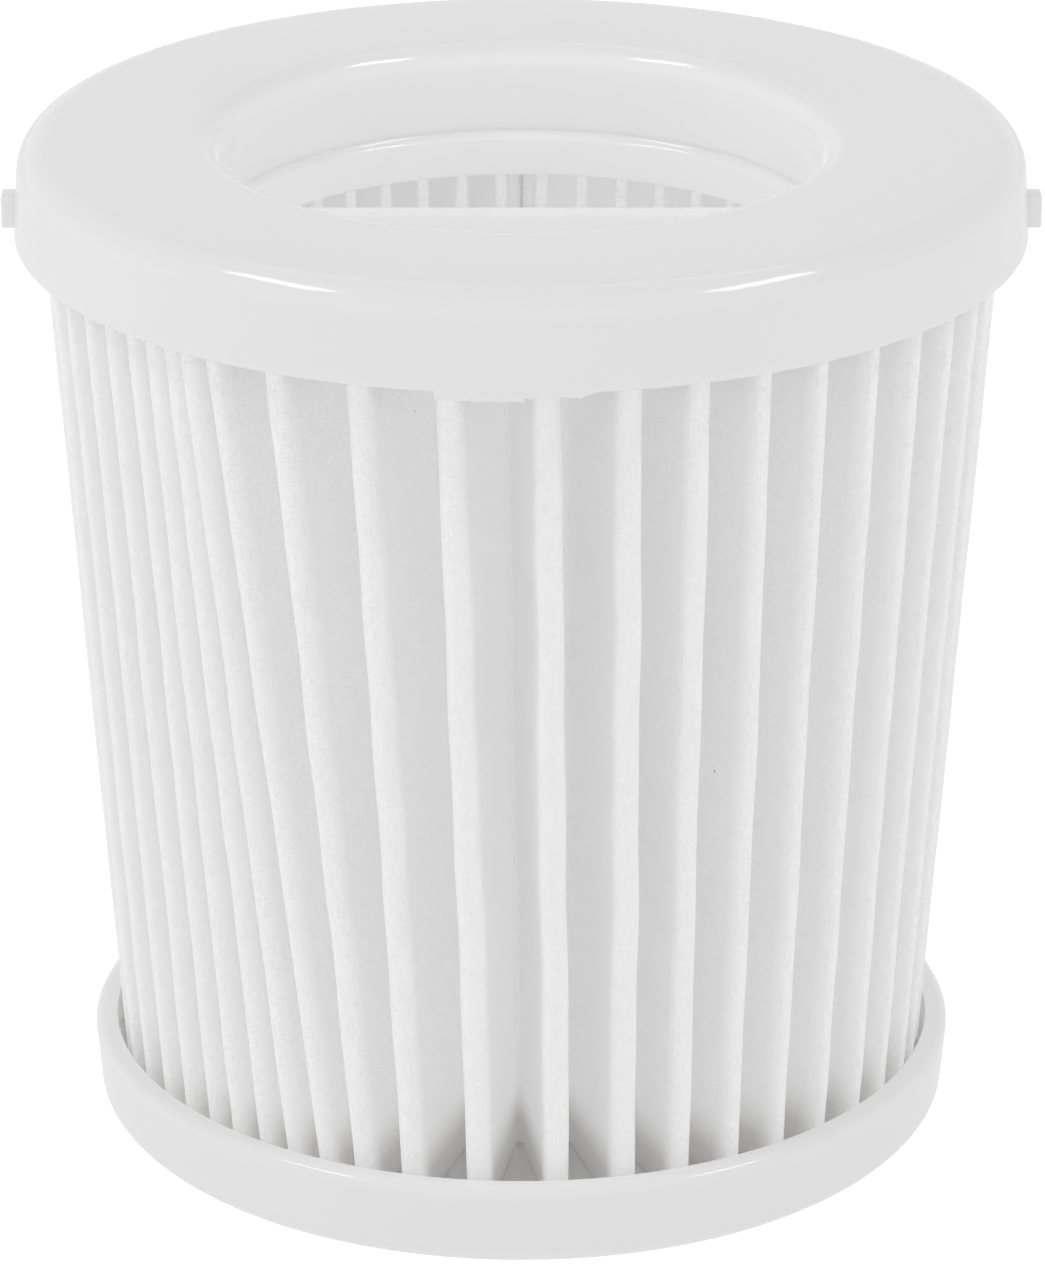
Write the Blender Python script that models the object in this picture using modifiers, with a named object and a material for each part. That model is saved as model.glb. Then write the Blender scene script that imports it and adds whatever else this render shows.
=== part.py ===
"""Pleated filter cartridge with a twist-in top cap, in metres, +Z up.

The origin is the centre of the flat bottom. The cartridge's axis is Z, the two lugs stand out along X, and
the front is -Y. An azimuth is measured round the axis from the front, towards +X.
"""

import math

import bpy

# General
NAME = "filter_cartridge"
HEIGHT = 0.0936
CLEARANCE = 0.0003  # gap between solids that touch on the real object
TURN_STEPS = 72  # facets round every turned piece
EPSILON = 0.00001

# Top end cap: flange, skirt and bore wall
SKIRT_RADIUS = 0.0451  # at the lower edge
SKIRT_DRAFT = 0.0005  # the skirt is this much narrower at its top
SKIRT_WALL = 0.0015
SKIRT_BOTTOM = 0.0848
SKIRT_EDGE_ROUND = 0.0003
FLANGE_THICKNESS = 0.0022
FLANGE_ROUND = 0.0029
BORE_RADIUS = 0.0270
BORE_WALL = 0.0012
BORE_ROUND = 0.0022
BORE_BOTTOM = 0.0854

# Lugs on the skirt
LUG_REACH = 0.0463  # from the axis to the lug's outer face
LUG_WIDTH = 0.0024
LUG_BOTTOM = 0.0849
LUG_TOP = 0.0879
LUG_EDGE_ROUND = 0.0002

# Lip of flash under the front of the skirt: a deeper stretch, then a shallower one
LIP_LEFT = -0.0073
LIP_MIDDLE = 0.0003
LIP_RIGHT = 0.0066
LIP_DEPTH = 0.0008
LIP_SHALLOW_DEPTH = 0.0005
LIP_OVERLAP = 0.0004  # how far the lip runs up into the skirt

# Grip insert: a ring under the bore wall, crossed by a web
RING_RADIUS = 0.0264
RING_TOP = 0.0851
RING_BOTTOM = 0.0811
RING_ROUND = 0.0005
WEB_TOP = 0.0864
WEB_THICKNESS = 0.0015
WEB_ROUND = 0.0006

# Bottom end cap: a cup
CUP_RADIUS = 0.0397  # at the rim
CUP_DRAFT = 0.0004  # the wall is this much narrower at its foot
CUP_FOOT_WIDTH = 0.0054
CUP_FOOT_HEIGHT = 0.0032
CUP_TOP = 0.0088
CUP_RIM_WIDTH = 0.0020
CUP_RIM_ROUND = 0.0009
CUP_FLOOR = 0.0022

# Pleated media
PLEATS = 48
PLEAT_DEPTH = 0.0139
PLEAT_TOP_RADIUS = 0.0428  # outer tips, at the sheet's upper edge
PLEAT_BOTTOM_RADIUS = 0.0371  # outer tips, at the sheet's lower edge
PLEAT_TOP = 0.0857
PLEAT_BOTTOM = 0.0050
PLEAT_LEVELS = 3
SHEET_THICKNESS = 0.0005
TIP_RADIUS = 0.00085  # of the sheet's middle line at an outer fold
ROOT_RADIUS = 0.00040  # of the sheet's middle line at an inner fold
CROWDED_SHARE = 0.22  # a fold's radius is at most this share of the space that its pleat has
SEAM_AZIMUTH = 180.0
SEAM_THICKNESS = 0.0004
SEAM_MARGIN = 0.0012  # from the seam strip's edges to the sheet's edges

# Pleat spacing round the lower edge, in degrees: even, with a crowded stretch and a wide one
BACK_PITCH = 7.5
RIGHT_PITCH = 8.1
CROWD_AZIMUTH = -38.7
CROWD_SPREAD = 21.8
CROWD_LOSS = 2.6
WIDE_AZIMUTH = -0.9
WIDE_SPREAD = 12.0
WIDE_GAIN = 3.0

# Lean of the pleats, as the azimuth that a tip gains from the lower edge to the upper, in degrees
LEAN_ALL = -1.5
LEAN_PEAK = -10.2
LEAN_AZIMUTH = -28.0
LEAN_SPREAD_LEFT = 14.0
LEAN_SPREAD_RIGHT = 8.0

# Colours
CAP_WHITE = (0.80, 0.80, 0.80, 1.0)
MEDIA_WHITE = (0.84, 0.84, 0.83, 1.0)
GLUE_WHITE = (0.74, 0.74, 0.71, 1.0)


def clear_scene():
    for item in list(bpy.data.objects):
        bpy.data.objects.remove(item, do_unlink=True)


def new_collection(name):
    collection = bpy.data.collections.new(name)
    bpy.context.scene.collection.children.link(collection)
    return collection


def plastic(name, colour, roughness):
    material = bpy.data.materials.new(name)
    material.use_nodes = True
    material.diffuse_color = colour
    shader = material.node_tree.nodes["Principled BSDF"]
    shader.inputs["Base Color"].default_value = colour
    shader.inputs["Roughness"].default_value = roughness
    shader.inputs["Metallic"].default_value = 0.0
    return material


def arc(centre, radius, start, end, count, rise=None):
    """Points (r, z) round a centre, from one angle to another in degrees, both ends included.

    With a rise the arc is an ellipse: radius is then its half width and rise its half height.
    """
    angles = [math.radians(start + (end - start) * i / (count - 1)) for i in range(count)]
    rise = rise or radius
    return [(centre[0] + radius * math.cos(a), centre[1] + rise * math.sin(a)) for a in angles]


def turned(name, profile, collection, closed=True):
    """Turns a profile (r, z), which runs down the piece's outer side, round the Z axis."""
    mesh = bpy.data.meshes.new(name)
    count = len(profile)
    edges = [(i, (i + 1) % count) for i in range(count if closed else count - 1)]
    mesh.from_pydata([(r, 0.0, z) for r, z in profile], edges, [])
    piece = bpy.data.objects.new(name, mesh)
    collection.objects.link(piece)
    turn = piece.modifiers.new("Turn", "SCREW")
    turn.axis = "Z"
    turn.steps = TURN_STEPS
    turn.render_steps = TURN_STEPS
    turn.use_merge_vertices = True
    turn.merge_threshold = EPSILON
    return piece


def block(name, low, high, collection, rounding=0.0, segments=2):
    """A box between two corners, with rounded edges if a rounding is given."""
    centre = [(a + b) / 2 for a, b in zip(low, high)]
    bpy.ops.mesh.primitive_cube_add(size=1.0, location=centre)
    piece = bpy.context.active_object
    piece.name = name
    piece.scale = [b - a for a, b in zip(low, high)]
    bpy.ops.object.transform_apply(location=False, rotation=False, scale=True)
    for holder in list(piece.users_collection):
        holder.objects.unlink(piece)
    collection.objects.link(piece)
    if rounding:
        bevel = piece.modifiers.new("Rounding", "BEVEL")
        bevel.width = rounding
        bevel.segments = segments
    return piece


def combine(piece, tool, operation):
    """Joins or cuts a piece with a tool object, which stays out of the build."""
    boolean = piece.modifiers.new(tool.name, "BOOLEAN")
    boolean.operation = operation
    boolean.solver = "EXACT"
    boolean.object = tool
    tool.hide_render = True
    tool.display_type = "WIRE"


def settle(piece, material, crisp_angle=35.0):
    """Gives a piece its material, and turns its modifiers into a plain mesh with its crisp edges marked."""
    evaluated = piece.evaluated_get(bpy.context.evaluated_depsgraph_get())
    mesh = bpy.data.meshes.new_from_object(evaluated)
    mesh.name = piece.name
    piece.modifiers.clear()
    piece.data = mesh
    mesh.materials.clear()
    mesh.materials.append(material)
    mesh.shade_smooth()
    mesh.set_sharp_from_angle(angle=math.radians(crisp_angle))
    return piece


def skirt_radius(z):
    """The skirt's outer radius at a height, with its draft."""
    return SKIRT_RADIUS - SKIRT_DRAFT * (z - SKIRT_BOTTOM) / (HEIGHT - SKIRT_BOTTOM)


def lip_stretch(name, left, right, depth, tools):
    """One stretch of the flash: a ring as deep as the flash, kept between two upright planes."""
    outer = SKIRT_RADIUS - SKIRT_EDGE_ROUND / 2
    inner = SKIRT_RADIUS - SKIRT_WALL + SKIRT_EDGE_ROUND
    top = SKIRT_BOTTOM + LIP_OVERLAP
    bottom = SKIRT_BOTTOM - depth
    ring = turned(name, [(inner, top), (outer, top), (outer, bottom), (inner, bottom)], tools)
    low = (left, -SKIRT_RADIUS * 1.1, bottom * 0.98)
    high = (right, -inner * 0.9, top * 1.02)
    combine(ring, block(name + "_window", low, high, tools), "INTERSECT")
    return ring


def top_end_cap(parts, tools):
    """Flange, skirt and bore wall in one moulding, with two lugs and a lip of flash."""
    flange_bottom = HEIGHT - FLANGE_THICKNESS
    shoulder = skirt_radius(HEIGHT - FLANGE_ROUND)
    bore_outer = BORE_RADIUS + BORE_WALL
    edge = (SKIRT_RADIUS - SKIRT_EDGE_ROUND, SKIRT_BOTTOM + SKIRT_EDGE_ROUND)
    profile = arc((BORE_RADIUS + BORE_ROUND, HEIGHT - BORE_ROUND), BORE_ROUND, 180, 90, 6)
    profile += arc((shoulder - FLANGE_ROUND, HEIGHT - FLANGE_ROUND), FLANGE_ROUND, 90, 0, 6)
    profile += arc(edge, SKIRT_EDGE_ROUND, 0, -90, 3)
    profile += [
        (SKIRT_RADIUS - SKIRT_WALL, SKIRT_BOTTOM),
        (skirt_radius(flange_bottom) - SKIRT_WALL, flange_bottom),
        (bore_outer, flange_bottom),
        (bore_outer, BORE_BOTTOM),
        (BORE_RADIUS, BORE_BOTTOM),
    ]
    cap = turned("top_end_cap", profile, parts)
    for side, name in ((-1, "lug_left"), (1, "lug_right")):
        ends = sorted((side * (SKIRT_RADIUS - SKIRT_WALL / 2), side * LUG_REACH))
        low = (ends[0], -LUG_WIDTH / 2, LUG_BOTTOM)
        high = (ends[1], LUG_WIDTH / 2, LUG_TOP)
        combine(cap, block(name, low, high, tools, LUG_EDGE_ROUND), "UNION")
    combine(cap, lip_stretch("lip_deep", LIP_LEFT, LIP_MIDDLE, LIP_DEPTH, tools), "UNION")
    combine(
        cap,
        lip_stretch("lip_shallow", LIP_MIDDLE - CLEARANCE, LIP_RIGHT, LIP_SHALLOW_DEPTH, tools),
        "UNION",
    )
    return cap


def grip_insert(parts, tools):
    """The narrower ring under the bore wall, and the web across it in line with the lugs."""
    outer = BORE_RADIUS + BORE_WALL
    profile = arc((RING_RADIUS + RING_ROUND, RING_TOP - RING_ROUND), RING_ROUND, 180, 90, 4)
    profile += [(outer, RING_TOP), (outer, RING_BOTTOM)]
    profile += arc((RING_RADIUS + RING_ROUND, RING_BOTTOM + RING_ROUND), RING_ROUND, 270, 180, 4)
    ring = turned("grip_insert", profile, parts)
    half_length = BORE_RADIUS - CLEARANCE
    low = (-half_length, -WEB_THICKNESS / 2, RING_BOTTOM + CLEARANCE)
    high = (half_length, WEB_THICKNESS / 2, WEB_TOP)
    combine(ring, block("grip_web", low, high, tools, WEB_ROUND, 3), "UNION")
    return ring


def top_potting(parts):
    """The adhesive that fills the top cap's channel, above the pleats."""
    inner = BORE_RADIUS + BORE_WALL + CLEARANCE
    top = HEIGHT - FLANGE_THICKNESS - CLEARANCE
    bottom = PLEAT_TOP + CLEARANCE
    outer_top = skirt_radius(top) - SKIRT_WALL - CLEARANCE
    outer_bottom = skirt_radius(bottom) - SKIRT_WALL - CLEARANCE
    profile = [(inner, top), (outer_top, top), (outer_bottom, bottom), (inner, bottom)]
    return turned("top_potting", profile, parts)


def bottom_end_cap(parts):
    """The cup round the pleats' feet: flat bottom, round foot edge, narrow flat rim."""
    inner = CUP_RADIUS - CUP_RIM_WIDTH
    foot = CUP_RADIUS - CUP_DRAFT - CUP_FOOT_WIDTH
    profile = [(0.0, CUP_FLOOR), (inner, CUP_FLOOR), (inner, CUP_TOP)]
    profile += arc((CUP_RADIUS - CUP_RIM_ROUND, CUP_TOP - CUP_RIM_ROUND), CUP_RIM_ROUND, 90, 0, 4)
    profile += arc((foot, CUP_FOOT_HEIGHT), CUP_FOOT_WIDTH, 0, -90, 8, rise=CUP_FOOT_HEIGHT)
    profile += [(0.0, 0.0)]
    return turned("bottom_end_cap", profile, parts, closed=False)


def bottom_potting(parts):
    """The pool of adhesive that the pleats stand in."""
    radius = CUP_RADIUS - CUP_RIM_WIDTH - CLEARANCE
    top = PLEAT_BOTTOM - CLEARANCE
    bottom = CUP_FLOOR + CLEARANCE
    profile = [(0.0, top), (radius, top), (radius, bottom), (0.0, bottom)]
    return turned("bottom_potting", profile, parts, closed=False)


def on_circle(radius, azimuth, z):
    angle = math.radians(azimuth)
    return (radius * math.sin(angle), -radius * math.cos(angle), z)


def natural_pitch(azimuth):
    """How far apart two pleats stand at an azimuth, in degrees, before the ring is closed."""
    side = (1 + math.cos(math.radians(azimuth - 45))) / 2
    crowded = math.exp(-(((azimuth - CROWD_AZIMUTH) / CROWD_SPREAD) ** 4))
    wide = math.exp(-(((azimuth - WIDE_AZIMUTH) / WIDE_SPREAD) ** 2))
    return BACK_PITCH + (RIGHT_PITCH - BACK_PITCH) * side - CROWD_LOSS * crowded + WIDE_GAIN * wide


def tip_azimuths():
    """Azimuths of the tips at the lower edge: one turn of the spacing, scaled to whole pleats."""
    step = 0.1
    azimuths = [-SEAM_AZIMUTH + step * i for i in range(int(360 / step) + 1)]
    counts = [0.0]
    for azimuth in azimuths[:-1]:
        counts.append(counts[-1] + step / natural_pitch(azimuth + step / 2))
    scale = PLEATS / counts[-1]
    return [azimuth_at(azimuths, counts, k / scale) for k in range(PLEATS + 1)]


def azimuth_at(azimuths, counts, count):
    """Reads the azimuth where the running count of pleats reaches a value."""
    i = 1
    while i < len(counts) - 1 and counts[i] < count:
        i += 1
    share = (count - counts[i - 1]) / (counts[i] - counts[i - 1])
    return azimuths[i - 1] + share * (azimuths[i] - azimuths[i - 1])


def lean(azimuth):
    """How far a pleat's top stands to one side of its foot, in degrees, fading to nothing at the seam."""
    offset = azimuth - LEAN_AZIMUTH
    spread = LEAN_SPREAD_RIGHT if offset > 0 else LEAN_SPREAD_LEFT
    fade = math.cos(math.radians(azimuth / 2)) ** 2
    return fade * (LEAN_ALL + LEAN_PEAK / (1 + (offset / spread) ** 2))


def fold(radius, azimuth, z, bend, outward, count):
    """Points round one fold of the sheet: half a circle that faces away from the axis, or towards it."""
    centre = radius - bend if outward else radius + bend
    middle = 0 if outward else 180
    turn = 1 if outward else -1
    points = []
    for i in range(count):
        angle = math.radians(middle + turn * (-90 + 180 * i / (count - 1)))
        out = centre + bend * math.cos(angle)
        side = bend * math.sin(angle)
        x, y, _ = on_circle(out, azimuth, z)
        dx, dy, _ = on_circle(1.0, azimuth + 90, z)
        points.append((x + side * dx, y + side * dy, z))
    return points


def sheet_section(share):
    """The sheet's middle line at a height, from one end leg at the seam to the other."""
    z = PLEAT_BOTTOM + share * (PLEAT_TOP - PLEAT_BOTTOM)
    outer = PLEAT_BOTTOM_RADIUS + share * (PLEAT_TOP_RADIUS - PLEAT_BOTTOM_RADIUS) - SHEET_THICKNESS / 2
    inner = outer + SHEET_THICKNESS - PLEAT_DEPTH
    tips = [a + share * lean(a) for a in tip_azimuths()]
    leg = (SEAM_THICKNESS + SHEET_THICKNESS) / 2 + CLEARANCE
    leg_end = math.sqrt(outer**2 - leg**2)
    points = [(-leg, leg_end, z)]
    for k in range(PLEATS):
        room = math.radians(tips[k + 1] - tips[k])
        root = (tips[k] + tips[k + 1]) / 2
        points += fold(inner, root, z, min(ROOT_RADIUS, CROWDED_SHARE * room * inner), False, 4)
        if k < PLEATS - 1:
            next_room = min(room, math.radians(tips[k + 2] - tips[k + 1]))
            bend = min(TIP_RADIUS, CROWDED_SHARE * next_room * outer)
            points += fold(outer, tips[k + 1], z, bend, True, 5)
    points.append((leg, leg_end, z))
    return points


def pleated_media(parts):
    """One sheet, folded into pleats, closed into a tapered ring at the seam."""
    sections = [sheet_section(i / (PLEAT_LEVELS - 1)) for i in range(PLEAT_LEVELS)]
    width = len(sections[0])
    faces = []
    for level in range(PLEAT_LEVELS - 1):
        for i in range(width - 1):
            a = level * width + i
            faces.append((a, a + 1, a + 1 + width, a + width))
    mesh = bpy.data.meshes.new("pleated_media")
    mesh.from_pydata([point for section in sections for point in section], [], faces)
    media = bpy.data.objects.new("pleated_media", mesh)
    parts.objects.link(media)
    sheet = media.modifiers.new("Sheet", "SOLIDIFY")
    sheet.thickness = SHEET_THICKNESS
    sheet.offset = 0.0
    sheet.use_even_offset = True
    return media


def media_seam(parts):
    """The adhesive strip between the sheet's two end legs: a flat outline in the plane of the seam."""
    outline = []
    for share, z in ((0.0, PLEAT_BOTTOM + CLEARANCE), (1.0, PLEAT_TOP - CLEARANCE)):
        outer = PLEAT_BOTTOM_RADIUS + share * (PLEAT_TOP_RADIUS - PLEAT_BOTTOM_RADIUS) - SEAM_MARGIN
        inner = outer - PLEAT_DEPTH / 2
        outline += [(outer, z), (inner, z)] if share == 0.0 else [(inner, z), (outer, z)]
    curve = bpy.data.curves.new("media_seam", "CURVE")
    curve.dimensions = "2D"
    curve.fill_mode = "BOTH"
    curve.extrude = SEAM_THICKNESS / 2
    spline = curve.splines.new("POLY")
    spline.points.add(len(outline) - 1)
    for point, (y, z) in zip(spline.points, outline):
        point.co = (y, z, 0.0, 1.0)
    spline.use_cyclic_u = True
    seam = bpy.data.objects.new("media_seam", curve)
    seam.rotation_euler = (math.radians(90), 0.0, math.radians(90))
    parts.objects.link(seam)
    bpy.context.view_layer.update()
    mesh = bpy.data.meshes.new_from_object(seam.evaluated_get(bpy.context.evaluated_depsgraph_get()))
    strip = bpy.data.objects.new("strip", mesh)
    strip.matrix_world = seam.matrix_world
    bpy.data.objects.remove(seam)
    strip.name = "media_seam"
    parts.objects.link(strip)
    weld = strip.modifiers.new("Weld", "WELD")
    weld.merge_threshold = EPSILON
    return strip


def build():
    clear_scene()
    parts = new_collection(NAME)
    tools = new_collection("cutters")
    cap_plastic = plastic("cap_plastic", CAP_WHITE, 0.28)
    insert_plastic = plastic("insert_plastic", CAP_WHITE, 0.28)
    cup_plastic = plastic("cup_plastic", CAP_WHITE, 0.30)
    sheet_fibre = plastic("sheet_fibre", MEDIA_WHITE, 0.90)
    upper_glue = plastic("upper_glue", GLUE_WHITE, 0.50)
    lower_glue = plastic("lower_glue", GLUE_WHITE, 0.50)
    seam_glue = plastic("seam_glue", GLUE_WHITE, 0.50)
    pieces = (
        (top_end_cap(parts, tools), cap_plastic),
        (grip_insert(parts, tools), insert_plastic),
        (top_potting(parts), upper_glue),
        (pleated_media(parts), sheet_fibre),
        (media_seam(parts), seam_glue),
        (bottom_potting(parts), lower_glue),
        (bottom_end_cap(parts), cup_plastic),
    )
    bpy.context.view_layer.update()
    for piece, material in pieces:
        settle(piece, material)


build()
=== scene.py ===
"""Looks of the pleated filter cartridge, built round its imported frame. Metres, +Z up, the front is -Y.

An azimuth is measured round the cartridge's axis from the front, towards +X, in degrees.
"""

import math

import bmesh
import bpy
import numpy as np
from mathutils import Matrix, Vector


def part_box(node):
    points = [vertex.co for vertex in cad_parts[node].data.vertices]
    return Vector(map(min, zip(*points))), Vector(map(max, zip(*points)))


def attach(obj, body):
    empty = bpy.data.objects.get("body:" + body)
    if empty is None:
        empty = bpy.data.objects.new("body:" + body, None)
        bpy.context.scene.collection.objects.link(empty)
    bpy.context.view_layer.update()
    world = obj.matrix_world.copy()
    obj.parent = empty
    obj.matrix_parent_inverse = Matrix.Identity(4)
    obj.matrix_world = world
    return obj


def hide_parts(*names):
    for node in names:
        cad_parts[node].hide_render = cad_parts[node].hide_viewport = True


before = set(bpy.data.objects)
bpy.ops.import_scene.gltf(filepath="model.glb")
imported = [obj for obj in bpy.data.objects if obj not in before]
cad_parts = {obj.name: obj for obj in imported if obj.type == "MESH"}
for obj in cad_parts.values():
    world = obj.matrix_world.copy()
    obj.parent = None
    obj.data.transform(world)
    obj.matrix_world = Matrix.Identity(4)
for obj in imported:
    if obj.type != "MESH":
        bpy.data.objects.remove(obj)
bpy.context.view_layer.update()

# Places read from the frame
CAP_LOW, CAP_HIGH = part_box("top_end_cap")
INSERT_LOW, INSERT_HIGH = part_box("grip_insert")
UPPER_GLUE_LOW, UPPER_GLUE_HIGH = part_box("top_potting")
LOWER_GLUE_LOW, LOWER_GLUE_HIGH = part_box("bottom_potting")
CUP_LOW, CUP_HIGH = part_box("bottom_end_cap")
SEAM_LOW, SEAM_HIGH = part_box("media_seam")
CLEARANCE = 0.0003  # the gap that the frame's solids keep to each other, closed here

# Top end cap
HEIGHT = CAP_HIGH.z
SKIRT_RADIUS = CAP_HIGH.y
SKIRT_DRAFT = 0.0005
SKIRT_WALL = 0.0015
SKIRT_EDGE_ROUND = 0.0003
FLANGE_THICKNESS = 0.0022
FLANGE_ROUND = 0.0029
BORE_RADIUS = 0.0270
BORE_ROUND = 0.0022
BORE_BOTTOM = 0.0854
LUG_REACH = CAP_HIGH.x
LUG_WIDTH = 0.0024
LUG_BOTTOM = 0.0849
LUG_TOP = 0.0879
LUG_EDGE_ROUND = 0.00025

# Lip of flash under the front of the skirt, by azimuth
LIP_DEPTH = 0.0008
LIP_SHALLOW_DEPTH = 0.0005
LIP_START = -9.3
LIP_STEP = 0.4
LIP_END = 8.4
SKIRT_BOTTOM = CAP_LOW.z + LIP_DEPTH

# Grip insert
INSERT_RADIUS = INSERT_HIGH.x
RING_RADIUS = 0.0264
RING_ROUND = 0.0003
RING_STEP = 0.0009  # the height over which the ring steps in from the bore wall
WEB_TOP = INSERT_HIGH.z
WEB_THICKNESS = 0.0015
WEB_ROUND = 0.0006

# Bottom end cap
CUP_RADIUS = CUP_HIGH.x
CUP_TOP = CUP_HIGH.z
CUP_DRAFT = 0.0004
CUP_FOOT_WIDTH = 0.0054
CUP_FOOT_HEIGHT = 0.0032
CUP_RIM_WIDTH = 0.0020
CUP_RIM_ROUND = 0.0009
CUP_INNER_ROUND = 0.0002
CUP_FLOOR = 0.0022
GATE_RADIUS = 0.0030  # the dimple where the plastic entered the mould, under the cup
GATE_DEPTH = 0.0004

# Pleated sheet
PLEATS = 48
PLEAT_DEPTH = 0.0139
PLEAT_TOP_RADIUS = 0.0428
PLEAT_BOTTOM_RADIUS = 0.0371
PLEAT_TOP = UPPER_GLUE_LOW.z - CLEARANCE
PLEAT_BOTTOM = LOWER_GLUE_HIGH.z + CLEARANCE
SHEET_THICKNESS = 0.00045
TIP_RADIUS = 0.00092
KEEN_SHARE = 0.38  # how much of the tip radius is left where the folds are keener, away from the front
KEEN_AZIMUTH = 25.0
ROOT_RADIUS = 0.00055
CROWDED_SHARE = 0.22
SEAM_THICKNESS = SEAM_HIGH.x - SEAM_LOW.x
SEAM_AZIMUTH = 180.0
SEAM_LEG_DEPTH = PLEAT_DEPTH / 2
SEAM_PINCH = 0.93  # where the end legs pinch together, as a share of the pleat depth
FOOT_SHADE_FULL = 0.0080  # the painted shade between the pleats' feet is full up to this height, and fades to none at the next
FOOT_SHADE_END = 0.0120
SKIRT_SHADE_HEIGHT = 0.0035  # the height of the painted shade just under the skirt
SKIRT_SHADE_STRENGTH = 0.28

# Pleat spacing round the lower edge, in degrees
BACK_PITCH = 7.5
RIGHT_PITCH = 8.1
CROWD_AZIMUTH = -38.7
CROWD_SPREAD = 21.8
CROWD_LOSS = 2.6
WIDE_AZIMUTH = -0.9
WIDE_SPREAD = 12.0
WIDE_GAIN = 3.0

# Lean of the pleats, as the azimuth that a tip gains from the lower edge to the upper
LEAN_ALL = -1.5
LEAN_PEAK = -10.2
LEAN_AZIMUTH = -28.0
LEAN_SPREAD_LEFT = 14.0
LEAN_SPREAD_RIGHT = 8.0

# How the pleats stray from even shapes
TIP_SWAY = 0.28  # degrees
TIP_SUNK = 0.00020
TIP_RIPPLE = 0.00005
TIP_SWELL = 0.07  # share of the fold's radius
WALL_BOW = 0.00264  # per radian between two tips

# Cured adhesive's surface
LOWER_CLIMB = 0.0007
UPPER_CLIMB = -0.0005
SHEET_MENISCUS = 0.0005
WALL_MENISCUS = 0.0004

# Fineness of the meshes
CRISP_ANGLE = 32.0
ROUND_STEPS = 288
SHEET_LEVELS = 84
NOSE_POINTS = 11
ROOT_POINTS = 7
WALL_POINTS = 3

# Light and camera
FLOOR_SIZE = 6.0
FLOOR_GLOW = 0.45
FLOOR_LOOK = 0.74
TENT_LIGHT = 1.03
TENT_SLOPE = (-0.08, -0.04, -0.56)
TENT_BELOW = 1.15
SOFTBOX_DIRECTION = (0.59, -0.20, 0.78)
SOFTBOX_DISTANCE = 1.0
SOFTBOX_SIZE = (0.36, 0.15)
SOFTBOX_POWER = 1.25
STRIP_DIRECTION = (0.0, 0.47, 0.88)
STRIP_DISTANCE = 1.1
STRIP_SIZE = (0.80, 0.06)
STRIP_POWER = 0.30
FILL_AFTER = 2  # bounces
SHEET_REACH = 0.0002
PLASTIC_REACH = 0.00005
CAMERA_DISTANCE = 0.53856
CAMERA_HEIGHT = 0.26041
CAMERA_DOWN = 21.73
CAMERA_TURN = -0.011
CAMERA_LENS = 180.55
SENSOR = 36.0


# ---------------------------------------------------------------- shape helpers


def arc(centre, radius, start, end, count, rise=None):
    """Points (r, z) round a centre, from one angle to another in degrees, both ends included.

    With a rise the arc is an ellipse: radius is then its half width and rise its half height.
    """
    angles = np.radians(np.linspace(start, end, count))
    rise = rise or radius
    return [(centre[0] + radius * math.cos(a), centre[1] + rise * math.sin(a)) for a in angles]


def link(name, mesh):
    piece = bpy.data.objects.new(name, mesh)
    bpy.context.scene.collection.objects.link(piece)
    return piece


def tidy(mesh, crisp_angle=CRISP_ANGLE):
    """Welds a new mesh, points its faces outward, and shades it smooth between its crisp edges."""
    work = bmesh.new()
    work.from_mesh(mesh)
    bmesh.ops.remove_doubles(work, verts=work.verts, dist=1e-7)
    bmesh.ops.recalc_face_normals(work, faces=work.faces)
    work.to_mesh(mesh)
    work.free()
    mesh.shade_smooth()
    mesh.set_sharp_from_angle(angle=math.radians(crisp_angle))


def grid_mesh(name, points, wrap_rows=False, wrap_columns=False):
    """A mesh of quads over a grid of points, shaped (rows, columns, 3)."""
    rows, columns = points.shape[:2]
    index = np.arange(rows * columns).reshape(rows, columns)
    if wrap_rows:
        index = np.vstack([index, index[:1]])
    if wrap_columns:
        index = np.hstack([index, index[:, :1]])
    faces = np.stack([index[:-1, :-1], index[:-1, 1:], index[1:, 1:], index[1:, :-1]], axis=-1)
    mesh = bpy.data.meshes.new(name)
    mesh.from_pydata(points.reshape(-1, 3).tolist(), [], faces.reshape(-1, 4).tolist())
    return mesh


def around(radius, azimuth, z):
    """Points at a radius, an azimuth in degrees and a height; any of them may be an array."""
    angle = np.radians(azimuth)
    return np.stack(np.broadcast_arrays(radius * np.sin(angle), -radius * np.cos(angle), z), axis=-1)


def turned(name, profile, azimuths=None, closed=True, lowering=None):
    """A piece turned round the axis from a profile (r, z). lowering(azimuths, r, z) drops points of it."""
    if azimuths is None:
        azimuths = np.linspace(-180, 180, ROUND_STEPS, endpoint=False)
    radius = np.array([p[0] for p in profile])[:, None]
    height = np.array([p[1] for p in profile])[:, None]
    drop = 0.0 if lowering is None else lowering(azimuths[None, :], radius, height)
    mesh = grid_mesh(name, around(radius, azimuths[None, :], height - drop), closed, True)
    tidy(mesh)
    return link(name, mesh)


def block(name, low, high, rounding, segments):
    """A box between two corners with rounded edges, as a tool that joins another piece."""
    mesh = bpy.data.meshes.new(name)
    work = bmesh.new()
    bmesh.ops.create_cube(work, size=1.0)
    size = [b - a for a, b in zip(low, high)]
    centre = [(a + b) / 2 for a, b in zip(low, high)]
    bmesh.ops.scale(work, vec=size, verts=work.verts)
    bmesh.ops.translate(work, vec=centre, verts=work.verts)
    bmesh.ops.bevel(
        work, geom=work.edges[:], offset=rounding, segments=segments, profile=0.5, affect="EDGES"
    )
    work.to_mesh(mesh)
    work.free()
    return link(name, mesh)


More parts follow.
